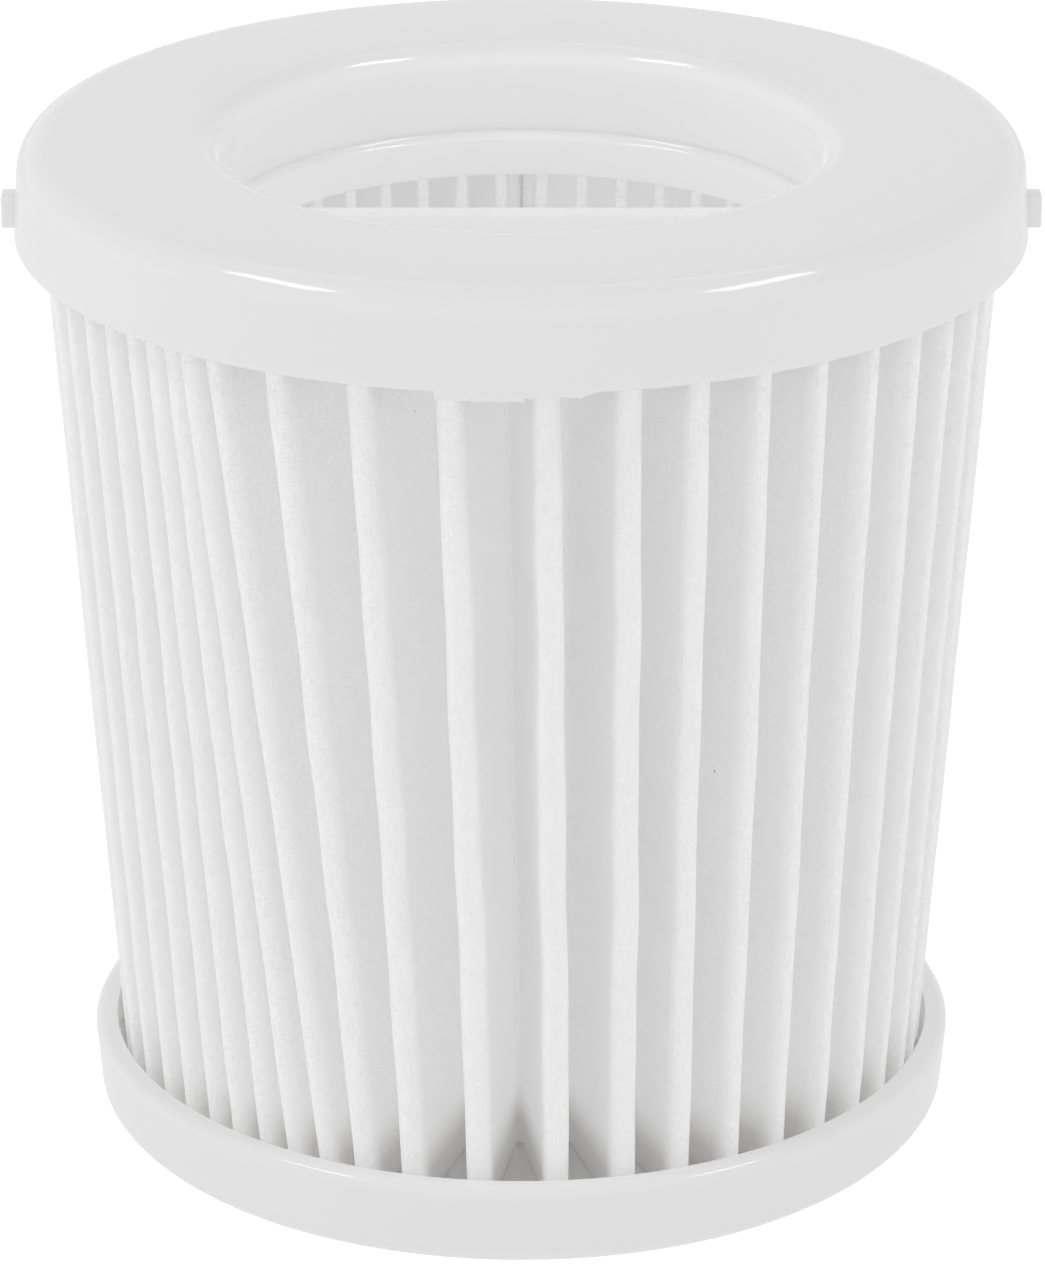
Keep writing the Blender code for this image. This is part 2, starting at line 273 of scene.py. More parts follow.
def join(piece, tools):
    """Unites a piece with its tools, and removes the tools."""
    for tool in tools:
        union = piece.modifiers.new(tool.name, "BOOLEAN")
        union.operation = "UNION"
        union.solver = "EXACT"
        union.object = tool
    evaluated = piece.evaluated_get(bpy.context.evaluated_depsgraph_get())
    mesh = bpy.data.meshes.new_from_object(evaluated)
    piece.modifiers.clear()
    piece.data = mesh
    mesh.shade_smooth()
    mesh.set_sharp_from_angle(angle=math.radians(CRISP_ANGLE))
    for tool in tools:
        bpy.data.objects.remove(tool)


# ---------------------------------------------------------------- top end cap and grip insert


def skirt_radius(z):
    return SKIRT_RADIUS - SKIRT_DRAFT * (z - SKIRT_BOTTOM) / (HEIGHT - SKIRT_BOTTOM)


def lip_depth(azimuth):
    """How far the flash hangs below the skirt: a crisp start, a long even stretch, a ragged end."""
    ragged = 0.00007 * np.sin(azimuth * 2.3) + 0.00005 * np.sin(azimuth * 7.1 + 1.0)
    deep = np.where(azimuth < LIP_STEP, LIP_DEPTH - 0.00006 + ragged * 0.4, 0.0)
    fading = np.clip((LIP_END - azimuth) / 2.2, 0.0, 1.0)
    shallow = np.where(azimuth >= LIP_STEP, (LIP_SHALLOW_DEPTH - 0.0001 + ragged) * fading, 0.0)
    inside = (azimuth > LIP_START) & (azimuth < LIP_END)
    return np.where(inside, np.clip(deep + shallow, 0.0, LIP_DEPTH), 0.0)


def lip_lowering(azimuths, radius, height):
    """Lowers the skirt's bottom edge where the flash hangs."""
    at_edge = np.clip((SKIRT_BOTTOM + SKIRT_EDGE_ROUND * 1.5 - height) / (SKIRT_EDGE_ROUND * 0.5), 0.0, 1.0)
    in_skirt = radius > SKIRT_RADIUS - SKIRT_WALL * 1.1
    return lip_depth(azimuths) * at_edge * in_skirt


def cap_azimuths():
    """Even steps all round, and close steps along the flash."""
    even = np.linspace(-180, 180, ROUND_STEPS, endpoint=False)
    close = np.arange(LIP_START - 0.6, LIP_END + 0.6, 0.12)
    rest = even[(even < close[0] - 0.3) | (even > close[-1] + 0.3)]
    return np.sort(np.concatenate([rest, close]))


def make_top_cap():
    """Flange, skirt and bore wall, the two lugs, and the flash."""
    flange_bottom = HEIGHT - FLANGE_THICKNESS
    shoulder = skirt_radius(HEIGHT - FLANGE_ROUND)
    edge = (SKIRT_RADIUS - SKIRT_EDGE_ROUND, SKIRT_BOTTOM + SKIRT_EDGE_ROUND)
    profile = arc((BORE_RADIUS + BORE_ROUND, HEIGHT - BORE_ROUND), BORE_ROUND, 180, 90, 13)
    profile += arc((shoulder - FLANGE_ROUND, HEIGHT - FLANGE_ROUND), FLANGE_ROUND, 90, 0, 13)
    profile += [(SKIRT_RADIUS, SKIRT_BOTTOM + SKIRT_EDGE_ROUND * 1.5)]
    profile += arc(edge, SKIRT_EDGE_ROUND, 0, -90, 6)
    profile += [
        (SKIRT_RADIUS - SKIRT_WALL, SKIRT_BOTTOM),
        (SKIRT_RADIUS - SKIRT_WALL, SKIRT_BOTTOM + SKIRT_EDGE_ROUND * 1.5),
        (skirt_radius(flange_bottom) - SKIRT_WALL, flange_bottom),
        (INSERT_RADIUS, flange_bottom),
        (INSERT_RADIUS, BORE_BOTTOM),
        (BORE_RADIUS, BORE_BOTTOM),
    ]
    cap = turned("top_cap", profile, cap_azimuths(), lowering=lip_lowering)
    lugs = []
    for side in (-1, 1):
        ends = sorted((side * (SKIRT_RADIUS - SKIRT_WALL / 2), side * LUG_REACH))
        low = (ends[0], -LUG_WIDTH / 2, LUG_BOTTOM)
        high = (ends[1], LUG_WIDTH / 2, LUG_TOP)
        lugs.append(block("lug", low, high, LUG_EDGE_ROUND, 4))
    join(cap, lugs)
    return cap


def make_grip_insert():
    """The ring, which steps in softly from the bore wall above it, and the round-topped web across it."""
    top = BORE_BOTTOM
    bottom = INSERT_LOW.z
    profile = []
    for t in np.linspace(0, 1, 13):
        share = (1 - math.cos(math.pi * t)) / 2
        profile += [(RING_RADIUS + (BORE_RADIUS - RING_RADIUS) * share, top - RING_STEP * (1 - t))]
    profile += [(INSERT_RADIUS, top), (INSERT_RADIUS, bottom)]
    profile += arc((RING_RADIUS + RING_ROUND, bottom + RING_ROUND), RING_ROUND, 270, 180, 6)
    ring = turned("grip_ring", profile)
    half_length = BORE_RADIUS - CLEARANCE / 3
    low = (-half_length, -WEB_THICKNESS / 2, bottom + CLEARANCE)
    high = (half_length, WEB_THICKNESS / 2, WEB_TOP)
    join(ring, [block("web", low, high, WEB_ROUND, 6)])
    return ring


# ---------------------------------------------------------------- bottom end cap


def make_cup():
    """The cup round the pleats' feet, with the gate dimple under it."""
    inner = CUP_RADIUS - CUP_RIM_WIDTH
    foot = CUP_RADIUS - CUP_DRAFT - CUP_FOOT_WIDTH
    profile = [(0.0, CUP_FLOOR), (inner, CUP_FLOOR)]
    profile += arc((inner + CUP_INNER_ROUND, CUP_TOP - CUP_INNER_ROUND), CUP_INNER_ROUND, 180, 90, 5)
    profile += arc((CUP_RADIUS - CUP_RIM_ROUND, CUP_TOP - CUP_RIM_ROUND), CUP_RIM_ROUND, 90, 0, 10)
    profile += arc((foot, CUP_FOOT_HEIGHT), CUP_FOOT_WIDTH, 0, -90, 20, rise=CUP_FOOT_HEIGHT)
    dimple = np.linspace(1.0, 0.0, 9)
    profile += [(GATE_RADIUS * t, GATE_DEPTH * (0.5 + 0.5 * math.cos(math.pi * t))) for t in dimple]
    return turned("bottom_cup", profile, closed=False)


# ---------------------------------------------------------------- pleated sheet


def natural_pitch(azimuth):
    """How far apart two pleats stand at an azimuth, in degrees, before the ring is closed."""
    side = (1 + math.cos(math.radians(azimuth - 45))) / 2
    crowded = math.exp(-(((azimuth - CROWD_AZIMUTH) / CROWD_SPREAD) ** 4))
    wide = math.exp(-(((azimuth - WIDE_AZIMUTH) / WIDE_SPREAD) ** 2))
    return BACK_PITCH + (RIGHT_PITCH - BACK_PITCH) * side - CROWD_LOSS * crowded + WIDE_GAIN * wide


def foot_azimuths():
    """Azimuths of the tips at the lower edge; the first and the last are the seam."""
    step = 0.1
    azimuths = -SEAM_AZIMUTH + step * np.arange(int(360 / step) + 1)
    gained = [step / natural_pitch(a + step / 2) for a in azimuths[:-1]]
    counts = np.concatenate([[0.0], np.cumsum(gained)])
    return np.interp(np.arange(PLEATS + 1) * counts[-1] / PLEATS, counts, azimuths)


def lean(azimuth):
    """How far a pleat's top stands to one side of its foot, in degrees, fading to nothing at the seam."""
    offset = azimuth - LEAN_AZIMUTH
    spread = np.where(offset > 0, LEAN_SPREAD_RIGHT, LEAN_SPREAD_LEFT)
    fade = np.cos(np.radians(azimuth / 2)) ** 2
    return fade * (LEAN_ALL + LEAN_PEAK / (1 + (offset / spread) ** 2))


def waves(random, share, count, cycles, size):
    """A slow, irregular wave up each of several pleats: rows are heights, columns are pleats."""
    total = np.zeros((len(share), count))
    for low, high in cycles:
        pace = random.uniform(low, high, count)
        phase = random.uniform(0, 2 * math.pi, count)
        total += np.sin(2 * math.pi * pace * share[:, None] + phase) * random.uniform(0.4, 1.0, count)
    return total * size / len(cycles)


def half_turn(radius, azimuth, z, bend, outward, count):
    """Points round a fold, for every height and pleat: half a circle that faces out, or towards the axis."""
    turn = 1 if outward else -1
    angle = np.radians(np.linspace(-90, 90, count)) * turn
    centre = radius - turn * bend
    out = centre[..., None] + turn * bend[..., None] * np.cos(angle)
    side = turn * bend[..., None] * np.sin(angle)
    radial = around(1.0, azimuth, 0.0)
    sideways = around(1.0, azimuth + 90, 0.0)
    points = out[..., None] * radial[..., None, :] + side[..., None] * sideways[..., None, :]
    points[..., 2] += np.broadcast_to(z, points.shape[:2])[..., None]
    return points


def wall(start, end, bow, count):
    """Points between two folds, both left out, bowed sideways by a height and pleat's own amount."""
    share = np.linspace(0, 1, count + 2)[1:-1]
    span = end - start
    sideways = np.stack([-span[..., 1], span[..., 0], np.zeros(span.shape[:-1])], axis=-1)
    sideways /= np.linalg.norm(sideways, axis=-1, keepdims=True)
    straight = start[..., None, :] + span[..., None, :] * share[:, None]
    return straight + (bow[..., None] * np.sin(math.pi * share))[..., None] * sideways[..., None, :]


def sheet_points():
    """The sheet's middle surface, shaped (heights, points along the sheet, 3)."""
    random = np.random.default_rng(11)
    share = np.linspace(0, 1, SHEET_LEVELS)
    z = (PLEAT_BOTTOM + share * (PLEAT_TOP - PLEAT_BOTTOM))[:, None]
    held = np.sqrt(np.sin(math.pi * np.clip(share, 0.02, 0.98)))[:, None]
    tips = foot_azimuths()[None, :] + share[:, None] * lean(foot_azimuths())[None, :]
    tips[:, 1:-1] += held * waves(random, share, PLEATS - 1, ((0.4, 1.1), (1.5, 3.0), (4.0, 7.0)), TIP_SWAY)
    outer = PLEAT_BOTTOM_RADIUS + share * (PLEAT_TOP_RADIUS - PLEAT_BOTTOM_RADIUS) - SHEET_THICKNESS / 2
    sunk = random.uniform(0.0, TIP_SUNK, PLEATS - 1)
    ripple = waves(random, share, PLEATS - 1, ((1.0, 3.0), (5.0, 9.0)), TIP_RIPPLE) - TIP_RIPPLE
    noses = outer[:, None] - sunk + ripple
    roots = np.broadcast_to((outer + SHEET_THICKNESS - PLEAT_DEPTH)[:, None], (SHEET_LEVELS, PLEATS))
    room = np.radians(np.diff(tips, axis=1))
    nose_room = np.minimum(room[:, :-1], room[:, 1:]) * noses
    swell = 1 + waves(random, share, PLEATS - 1, ((0.5, 1.5), (2.0, 5.0)), TIP_SWELL)
    keen = KEEN_SHARE + (1 - KEEN_SHARE) / (1 + (foot_azimuths()[1:-1] / KEEN_AZIMUTH) ** 6)
    nose_bend = np.minimum(TIP_RADIUS * keen, CROWDED_SHARE * nose_room) * swell
    root_bend = np.minimum(ROOT_RADIUS, CROWDED_SHARE * room * roots)
    root_azimuth = (tips[:, :-1] + tips[:, 1:]) / 2
    nose = half_turn(noses, tips[:, 1:-1], z, nose_bend, True, NOSE_POINTS)
    root = half_turn(roots, root_azimuth, z, root_bend, False, ROOT_POINTS)
    leg = (SEAM_THICKNESS + SHEET_THICKNESS) / 2
    end = np.stack([np.full(SHEET_LEVELS, leg), np.sqrt(outer**2 - leg**2), z[:, 0]], axis=-1)
    bonded_to = end - (0, SEAM_LEG_DEPTH, 0)
    pinched = end - (leg - 0.51 * SHEET_THICKNESS, PLEAT_DEPTH * SEAM_PINCH, 0)
    bow = held * waves(random, share, 2 * PLEATS, ((0.3, 0.9), (1.0, 2.5)), WALL_BOW)
    legs = np.stack([pinched, bonded_to, end], axis=1)
    return folded(legs, nose, root, bow * np.repeat(room, 2, axis=1))


def folded(legs, nose, root, bow):
    """Strings the folds together along the sheet, with walls between them, from one end leg to the other."""
    first_leg = legs[:, ::-1] * (-1, 1, 1)
    strip = [first_leg]
    for k in range(PLEATS):
        before = first_leg[:, -1] if k == 0 else nose[:, k - 1, -1]
        strip.append(wall(before, root[:, k, 0], bow[:, 2 * k], WALL_POINTS))
        strip.append(root[:, k])
        after = legs[:, 0] if k == PLEATS - 1 else nose[:, k, 0]
        strip.append(wall(root[:, k, -1], after, bow[:, 2 * k + 1], WALL_POINTS))
        if k < PLEATS - 1:
            strip.append(nose[:, k])
    strip.append(legs)
    return np.concatenate(strip, axis=1)


def make_sheet(points):
    """The folded sheet with its thickness."""
    mesh = grid_mesh("media_sheet", points)
    mesh.shade_smooth()
    sheet = link("media_sheet", mesh)
    thicken = sheet.modifiers.new("Thickness", "SOLIDIFY")
    thicken.thickness = SHEET_THICKNESS
    thicken.offset = 0.0
    thicken.use_even_offset = True
    return sheet


def make_seam(points):
    """The bonded strip between the sheet's end legs, with a slightly wavy outer edge."""
    heights = points[:, 0, 2]
    outer = points[:, 0, 1]
    wander = 0.00012 * np.sin(heights * 900) + 0.00008 * np.sin(heights * 2300 + 1)
    edge = outer - 0.0002 + wander
    half = SEAM_THICKNESS / 2
    across = np.array([-1.0, -0.6, 0.0, 0.6, 1.0])
    crown = 0.00015 * (1 - across**2)
    nose = np.stack(
        np.broadcast_arrays(across * half, edge[:, None] + crown, heights[:, None]), axis=-1
    )
    back = np.stack(
        np.broadcast_arrays(across[::-1] * half, edge[:, None] - SEAM_LEG_DEPTH, heights[:, None]), axis=-1
    )
    mesh = grid_mesh("seam_strip", np.concatenate([nose, back], axis=1), wrap_columns=True)
    close_ends(mesh)
    tidy(mesh)
    return link("seam_strip", mesh)


def close_ends(mesh):
    work = bmesh.new()
    work.from_mesh(mesh)
    bmesh.ops.holes_fill(work, edges=[e for e in work.edges if e.is_boundary], sides=0)
    work.to_mesh(mesh)
    work.free()


# ---------------------------------------------------------------- adhesive


def nearest(points, line):
    """Distance in plan from each point to a line of points."""
    start = line[:-1, :2]
    along = line[1:, :2] - start
    length = np.maximum((along**2).sum(axis=1), 1e-14)
    best = np.full(len(points), np.inf)
    for begin in range(0, len(points), 4000):
        part = points[begin : begin + 4000, None, :2] - start[None]
        share = np.clip((part * along).sum(axis=2) / length, 0, 1)
        gap = np.linalg.norm(part - share[..., None] * along, axis=2)
        best[begin : begin + 4000] = gap.min(axis=1)
    return best


def make_pool(name, inner, outer, surface, back, line, climb, azimuth_steps, rings):
    """Cured adhesive: a flat back, and a surface that climbs where the sheet and the walls stand in it."""
    azimuths = np.linspace(-180, 180, azimuth_steps, endpoint=False)
    radii = np.linspace(inner, outer, rings)
    face = around(radii[:, None], azimuths[None, :], surface)
    flat = face.reshape(-1, 3)
    rise = np.exp(-nearest(flat, line) / SHEET_MENISCUS)
    rise += np.exp(-(outer - np.linalg.norm(flat[:, :2], axis=1)) / WALL_MENISCUS)
    ripple = 0.08 * np.sin(flat[:, 0] * 900) * np.sin(flat[:, 1] * 1100 + 0.7)
    flat[:, 2] += climb * (np.clip(rise, 0, 1.2) + ripple)
    face = flat.reshape(rings, azimuth_steps, 3)
    edge = np.array([outer, inner])[:, None]
    rest = around(edge, azimuths[None, :], back)
    mesh = grid_mesh(name, np.concatenate([face, rest]), wrap_rows=True, wrap_columns=True)
    tidy(mesh, 60.0)
    return link(name, mesh)


# ---------------------------------------------------------------- materials


class Nodes:
    """Small helper that adds nodes to a material and wires them."""

    def __init__(self, name):
        self.material = bpy.data.materials.new(name)
        self.material.use_nodes = True
        self.tree = self.material.node_tree
        self.shader = self.tree.nodes["Principled BSDF"]
        place = self.tree.nodes.new("ShaderNodeTexCoord")
        self.place = place.outputs["Object"]

    def add(self, kind, **inputs):
        node = self.tree.nodes.new(kind)
        for name, value in inputs.items():
            socket = node.inputs[name.replace("_", " ")]
            if isinstance(value, bpy.types.NodeSocket):
                self.tree.links.new(value, socket)
            else:
                socket.default_value = value
        return node

    def noise(self, scale, detail=3.0, roughness=0.5, place=None, distortion=0.0):
        node = self.add("ShaderNodeTexNoise", Scale=scale, Detail=detail, Roughness=roughness)
        node.inputs["Distortion"].default_value = distortion
        self.tree.links.new(place or self.place, node.inputs["Vector"])
        return node.outputs["Fac"]

    def stretched(self, scale, turn):
        """The object's coordinates, squeezed along some axes and turned, for streaks."""
        node = self.tree.nodes.new("ShaderNodeMapping")
        node.inputs["Scale"].default_value = scale
        node.inputs["Rotation"].default_value = [math.radians(a) for a in turn]
        self.tree.links.new(self.place, node.inputs["Vector"])
        return node.outputs["Vector"]

    def ramp(self, value, low, high, start=0.0, end=1.0):
        node = self.tree.nodes.new("ShaderNodeMapRange")
        self.tree.links.new(value, node.inputs["Value"])
        node.inputs["From Min"].default_value = low
        node.inputs["From Max"].default_value = high
        node.inputs["To Min"].default_value = start
        node.inputs["To Max"].default_value = end
        return node.outputs["Result"]

    def math(self, operation, a, b):
        node = self.tree.nodes.new("ShaderNodeMath")
        node.operation = operation
        for socket, value in zip(node.inputs, (a, b)):
            if isinstance(value, bpy.types.NodeSocket):
                self.tree.links.new(value, socket)
            else:
                socket.default_value = value
        return node.outputs[0]

    def mix(self, share, a, b):
        """Mixes two colours by a share."""
        node = self.tree.nodes.new("ShaderNodeMix")
        node.data_type = "RGBA"
        self.tree.links.new(share, node.inputs["Factor"])
        for socket, value in ((node.inputs[6], a), (node.inputs[7], b)):
            if isinstance(value, bpy.types.NodeSocket):
                self.tree.links.new(value, socket)
            else:
                socket.default_value = value
        return node.outputs[2]

    def specks(self, spacing, size, rarity):
        """A mask of tiny, rare dots, one at most in each cell of a loose lattice."""
        cells = self.add("ShaderNodeTexVoronoi", Vector=self.place, Scale=1 / spacing)
        dot = self.ramp(cells.outputs["Distance"], size / spacing, 0.6 * size / spacing)
        split = self.tree.nodes.new("ShaderNodeSeparateColor")
        self.tree.links.new(cells.outputs["Color"], split.inputs["Color"])
        rare = self.math("GREATER_THAN", split.outputs["Red"], 1 - rarity)
        return self.math("MULTIPLY", dot, rare)

    def bump(self, height, distance, strength=1.0, under=None):
        node = self.tree.nodes.new("ShaderNodeBump")
        node.inputs["Distance"].default_value = distance
        node.inputs["Strength"].default_value = strength
        self.tree.links.new(height, node.inputs["Height"])
        if under is not None:
            self.tree.links.new(under, node.inputs["Normal"])
        return node.outputs["Normal"]

    def wire(self, **sockets):
        for name, value in sockets.items():
            socket = self.shader.inputs[name.replace("_", " ")]
            if isinstance(value, bpy.types.NodeSocket):
                self.tree.links.new(value, socket)
            else:
                socket.default_value = value


def grey(value, warmth=0.0):
    return (value * (1 + warmth), value, value * (1 - warmth), 1.0)


def from_axis(n, axes):
    """How far a point lies from the cartridge's axis."""
    squares = n.math("ADD", n.math("POWER", axes["X"], 2.0), n.math("POWER", axes["Y"], 2.0))
    return n.math("POWER", squares, 0.5)


def moulded_plastic(name, shade, bore_painted_glow):
    """White moulded plastic with a soft gloss, faint flow clouds and rare specks.

    It is a little milky, and inside the bore its colour is painted lighter: a painted glow that stands in
    for the light reaching the bore through the flange.
    """
    n = Nodes(name)
    clouds = n.ramp(n.noise(40.0, 2.0, 0.4), 0.1, 0.9, 0.994, 1.006)
    axes = n.add("ShaderNodeSeparateXYZ", Vector=n.place).outputs
    rim = BORE_RADIUS + BORE_ROUND / 3
    # Painted glow: inside the bore the base colour steps up from shade to the lighter bore shade.
    painted_bore_glow = n.ramp(from_axis(n, axes), rim, BORE_RADIUS, shade, bore_painted_glow)
    level = n.math("MULTIPLY", clouds, painted_bore_glow)
    base = n.add("ShaderNodeCombineColor", Red=level, Green=level, Blue=level).outputs["Color"]
    base = n.mix(n.specks(0.011, 0.00016, 0.10), base, grey(shade * 0.25, 0.05))
    handling = n.ramp(n.noise(120.0, 3.0, 0.5), 0.35, 0.7, 0.11, 0.14)
    peel = n.bump(n.noise(260.0, 1.0, 0.4), 0.000006)
    grain = n.bump(n.noise(5200.0, 2.0, 0.5), 0.0000005, 1.0, peel)
    n.wire(Base_Color=base, Roughness=handling, Normal=grain)
    n.wire(Subsurface_Weight=0.18, Subsurface_Scale=0.0016, Subsurface_Radius=(1.0, 1.0, 1.0), IOR=1.49)
    return n.material


def fold_depth(n, axes):
    """How far a point of the sheet lies inside the ring of crests."""
    crest = n.ramp(axes["Z"], PLEAT_BOTTOM, PLEAT_TOP, PLEAT_BOTTOM_RADIUS, PLEAT_TOP_RADIUS)
    return n.math("SUBTRACT", crest, from_axis(n, axes))


def painted_wall_shade(n, depth):
    """A mask of painted shade on the walls between the folds: none on the crests, and none on the roots'
    folds.
    """
    return n.math("MULTIPLY", n.ramp(depth, 0.0003, 0.0021), n.ramp(depth, 0.0138, 0.0136))


def painted_end_shade(n, depth, height):
    """A mask of painted shade between the pleats: most near their feet, a little just under the skirt."""
    low = n.math("POWER", n.ramp(height, FOOT_SHADE_END, FOOT_SHADE_FULL), 1.5)
    high = n.ramp(height, SKIRT_BOTTOM - SKIRT_SHADE_HEIGHT, SKIRT_BOTTOM, 0.0, SKIRT_SHADE_STRENGTH)
    return n.math("MULTIPLY", n.ramp(depth, 0.0004, 0.0026), n.math("ADD", low, high))


def filter_media(name, shade):
    """Matt white non-woven sheet: matted fibres, soft clumps and a few dark specks, with painted shade
    between the folds.
    """
    n = Nodes(name)
    clumps = n.noise(620.0, 4.0, 0.65)
    fibres = n.noise(1.0, 3.0, 0.6, n.stretched((5200, 5200, 900), (0, 0, 0)), 1.2)
    crossing = n.noise(1.0, 3.0, 0.6, n.stretched((1500, 1500, 4600), (0, 0, 0)), 1.2)
    matted = n.math("ADD", n.math("MULTIPLY", fibres, 0.5), n.math("MULTIPLY", crossing, 0.5))
    tone = n.math("ADD", n.math("MULTIPLY", clumps, 0.6), n.math("MULTIPLY", matted, 0.4))
    base = n.mix(n.ramp(tone, 0.36, 0.64), grey(shade * 0.982), grey(shade * 1.015))
    axes = n.add("ShaderNodeSeparateXYZ", Vector=n.place).outputs
    depth = fold_depth(n, axes)
    # Painted shade: the walls between the folds are darker than the crests.
    base = n.mix(n.math("MULTIPLY", painted_wall_shade(n, depth), 0.72), base, grey(shade * 0.87))
    # Painted shade between the pleats near their feet and just under the skirt.
    base = n.mix(painted_end_shade(n, depth, axes["Z"]), base, grey(shade * 0.68, 0.01))
    base = n.mix(n.specks(0.0085, 0.00015, 0.10), base, grey(shade * 0.2, 0.06))
    fuzz = n.bump(n.ramp(matted, 0.35, 0.65), 0.00005)
    lumps = n.bump(clumps, 0.00011, 1.0, fuzz)
    n.wire(Base_Color=base, Roughness=n.ramp(tone, 0.3, 0.7, 0.86, 0.97), Normal=lumps)
    n.wire(Sheen_Weight=0.05, Sheen_Roughness=0.6, Specular_IOR_Level=0.2)
    return n.material


def cured_glue(name, shade):
    """Greyish cured adhesive: smooth, softly rippled, a little milky."""
    n = Nodes(name)
    flow = n.noise(190.0, 4.0, 0.55)
    base = n.mix(n.ramp(flow, 0.35, 0.65), grey(shade * 0.96, 0.012), grey(shade * 1.02, 0.006))
    bubbles = n.specks(0.0022, 0.00035, 0.25)
    base = n.mix(bubbles, base, grey(shade * 0.9, 0.01))
    ripples = n.bump(flow, 0.00012)
    pits = n.bump(n.math("MULTIPLY", bubbles, -1.0), 0.00008, 1.0, ripples)
    n.wire(Base_Color=base, Roughness=n.ramp(flow, 0.3, 0.7, 0.32, 0.5), Normal=pits)
    n.wire(Subsurface_Weight=0.2, Subsurface_Scale=0.002, Subsurface_Radius=(1.0, 0.95, 0.85))
    return n.material


def studio_floor(name):
    """A lit white table with the faintest tooth, which looks whiter than the light that it gives."""
    n = Nodes(name)
    tooth = n.noise(900.0, 3.0, 0.6)
    base = n.mix(n.ramp(tooth, 0.35, 0.65), grey(0.495), grey(0.505))
    seen = n.add("ShaderNodeLightPath").outputs["Is Camera Ray"]
    n.wire(Base_Color=base, Roughness=0.9, Normal=n.bump(tooth, 0.00002), Specular_IOR_Level=0.1)
    n.wire(Emission_Color=grey(1.0), Emission_Strength=n.ramp(seen, 0.0, 1.0, FLOOR_GLOW, FLOOR_LOOK))
    return n.material


# ---------------------------------------------------------------- studio


def make_floor():
    mesh = bpy.data.meshes.new("floor")
    work = bmesh.new()
    bmesh.ops.create_grid(work, x_segments=8, y_segments=8, size=FLOOR_SIZE / 2)
    work.to_mesh(mesh)
    work.free()
    floor = link("floor", mesh)
    floor.location.z = CUP_LOW.z
    mesh.materials.append(studio_floor("floor_paper"))


def make_world():
    """A white tent: a little brighter on the left, less bright overhead, and dimmer below the floor."""
    world = bpy.data.worlds.new("tent")
    world.use_nodes = True
    tree = world.node_tree
    direction = tree.nodes.new("ShaderNodeTexCoord").outputs["Generated"]
    along = tree.nodes.new("ShaderNodeVectorMath")
    along.operation = "DOT_PRODUCT"
    along.inputs[1].default_value = TENT_SLOPE
    tree.links.new(direction, along.inputs[0])
    light = tree.nodes.new("ShaderNodeMath")
    light.operation = "ADD"
    light.inputs[1].default_value = TENT_LIGHT
    tree.links.new(along.outputs["Value"], light.inputs[0])
    height = tree.nodes.new("ShaderNodeSeparateXYZ")
    tree.links.new(direction, height.inputs[0])
    level = tree.nodes.new("ShaderNodeMapRange")
    level.inputs["From Min"].default_value = -0.02
    level.inputs["From Max"].default_value = 0.02
    level.inputs["To Min"].default_value = TENT_BELOW
    level.inputs["To Max"].default_value = 2.0
    tree.links.new(height.outputs["Z"], level.inputs["Value"])
    dimmed = tree.nodes.new("ShaderNodeMath")
    dimmed.operation = "MINIMUM"
    tree.links.new(light.outputs[0], dimmed.inputs[0])
    tree.links.new(level.outputs["Result"], dimmed.inputs[1])
    seen = tree.nodes.new("ShaderNodeLightPath").outputs["Is Camera Ray"]
    strength = tree.nodes.new("ShaderNodeMath")
    strength.operation = "MAXIMUM"
    tree.links.new(seen, strength.inputs[0])
    tree.links.new(dimmed.outputs[0], strength.inputs[1])
    back = tree.nodes["Background"]
    back.inputs["Color"].default_value = (1.0, 1.0, 1.0, 1.0)
    tree.links.new(strength.outputs[0], back.inputs["Strength"])
    bpy.context.scene.world = world


def softbox(name, direction, distance, size, power):
    """An oblong lamp that faces the cartridge's middle."""
    data = bpy.data.lights.new(name, "AREA")
    data.shape = "RECTANGLE"
    data.size, data.size_y = size
    data.energy = power
    lamp = bpy.data.objects.new(name, data)
    bpy.context.scene.collection.objects.link(lamp)
    away = Vector(direction).normalized()
    lamp.location = Vector((0.0, 0.0, HEIGHT / 2)) + away * distance
    lamp.rotation_euler = away.to_track_quat("Z", "Y").to_euler()


def mirrored(direction):
    return (-direction[0], direction[1], direction[2])


def fill_deep_gaps():
    """After two bounces only near things shade a surface, as white fibre passes on nearly all light."""
    scene = bpy.context.scene
    scene.cycles.use_fast_gi = True
    scene.cycles.fast_gi_method = "REPLACE"
    scene.cycles.ao_bounces_render = FILL_AFTER
    scene.cycles.ao_bounces = FILL_AFTER
    scene.world.light_settings.distance = SHEET_REACH


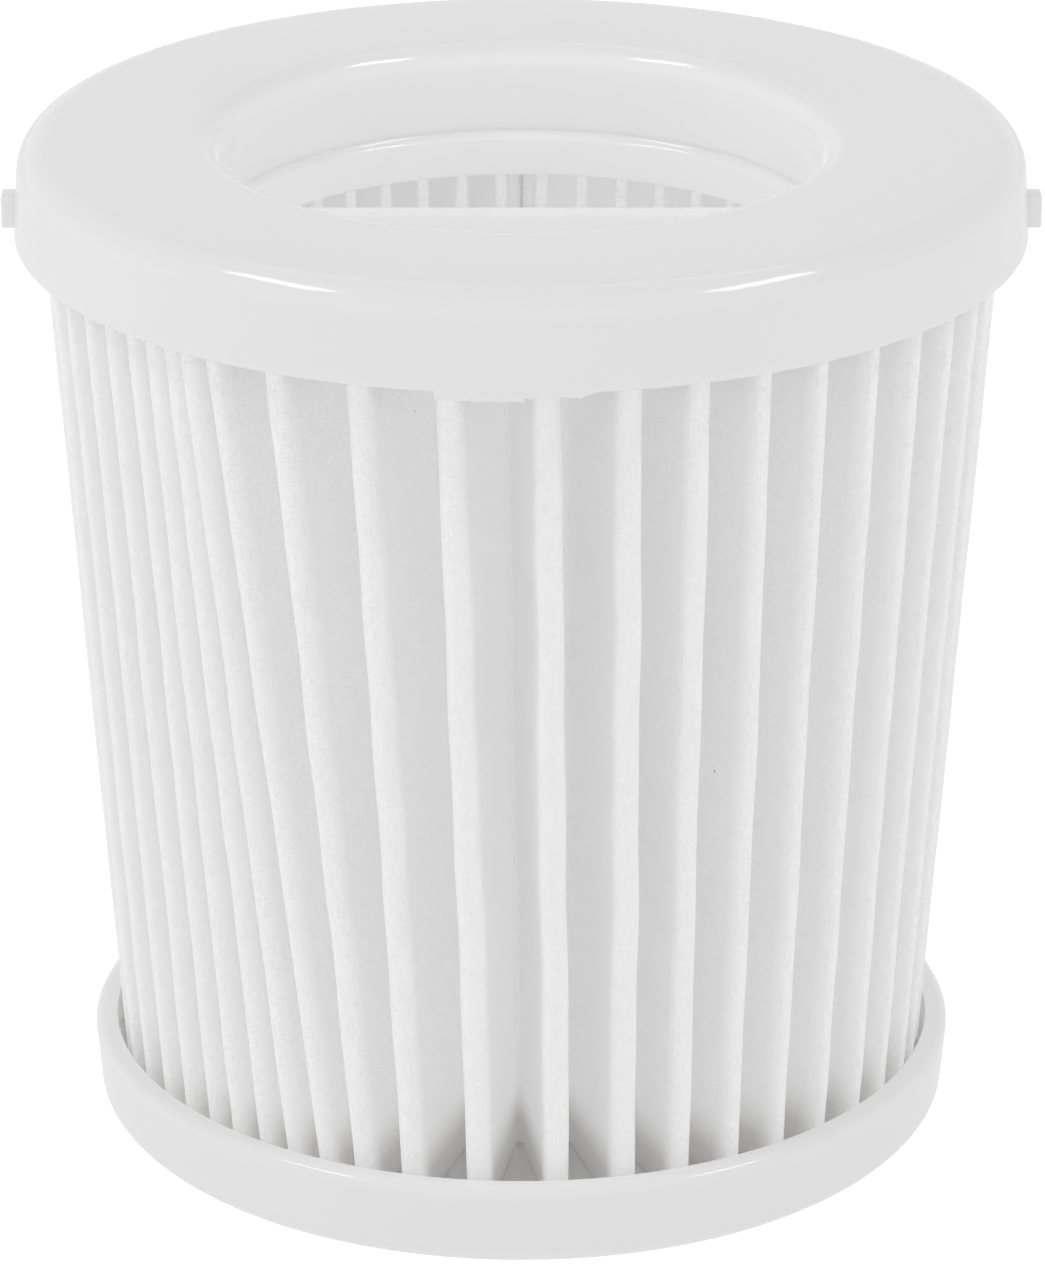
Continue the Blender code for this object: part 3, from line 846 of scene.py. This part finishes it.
def make_camera():
    data = bpy.data.cameras.new("camera")
    data.lens = CAMERA_LENS
    data.sensor_width = SENSOR
    data.clip_start = 0.01
    data.clip_end = 20.0
    camera = bpy.data.objects.new("camera", data)
    bpy.context.scene.collection.objects.link(camera)
    camera.location = (0.0, -CAMERA_DISTANCE, CAMERA_HEIGHT)
    camera.rotation_euler = (math.radians(90 - CAMERA_DOWN), 0.0, math.radians(CAMERA_TURN))
    bpy.context.scene.camera = camera


# ---------------------------------------------------------------- put together


def dress(piece, material, node, reach=PLASTIC_REACH):
    """Gives a piece its material and reach of shading, and puts it in its CAD node's place on the body."""
    piece.cycles.ao_distance = reach
    piece.data.materials.clear()
    piece.data.materials.append(material)
    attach(piece, "root")
    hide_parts(node)


def build_cartridge():
    points = sheet_points()
    inner_wall = CUP_RADIUS - CUP_RIM_WIDTH
    sheet = make_sheet(points)
    lower = make_pool(
        "lower_glue", 0.00005, inner_wall, PLEAT_BOTTOM, LOWER_GLUE_LOW.z, points[0], LOWER_CLIMB, 900, 64
    )
    upper = make_pool(
        "upper_glue",
        INSERT_RADIUS,
        skirt_radius(PLEAT_TOP) - SKIRT_WALL,
        PLEAT_TOP,
        UPPER_GLUE_HIGH.z,
        points[-1],
        UPPER_CLIMB,
        720,
        24,
    )
    # 0.900 is the painted glow inside the bore, which the grip insert shares.
    cap_plastic_painted_glow = moulded_plastic("cap_white_painted_glow", 0.830, 0.900)
    # The adhesive's own grey, darkened to 0.55 as painted shade on the potting floor deep between the
    # pleats.
    glue = cured_glue("glue_grey_painted_shade", 0.55)
    dress(make_top_cap(), cap_plastic_painted_glow, "top_end_cap")
    dress(make_grip_insert(), cap_plastic_painted_glow, "grip_insert")
    # The cup's plastic is a painted-shade copy of the cap's white plastic, a little darker.
    dress(make_cup(), moulded_plastic("cup_white_painted_shade", 0.820, 0.820), "bottom_end_cap")
    dress(sheet, filter_media("media_white_painted_shade", 0.98), "pleated_media", SHEET_REACH)
    dress(make_seam(points), glue, "media_seam")
    dress(lower, glue, "bottom_potting")
    dress(upper, glue, "top_potting")


build_cartridge()
make_floor()
make_world()
softbox("softbox_left", mirrored(SOFTBOX_DIRECTION), SOFTBOX_DISTANCE, SOFTBOX_SIZE, SOFTBOX_POWER)
softbox("softbox_right", SOFTBOX_DIRECTION, SOFTBOX_DISTANCE, SOFTBOX_SIZE, SOFTBOX_POWER)
softbox("strip_behind", STRIP_DIRECTION, STRIP_DISTANCE, STRIP_SIZE, STRIP_POWER)
make_camera()
bpy.context.scene.view_settings.view_transform = "Standard"
fill_deep_gaps()
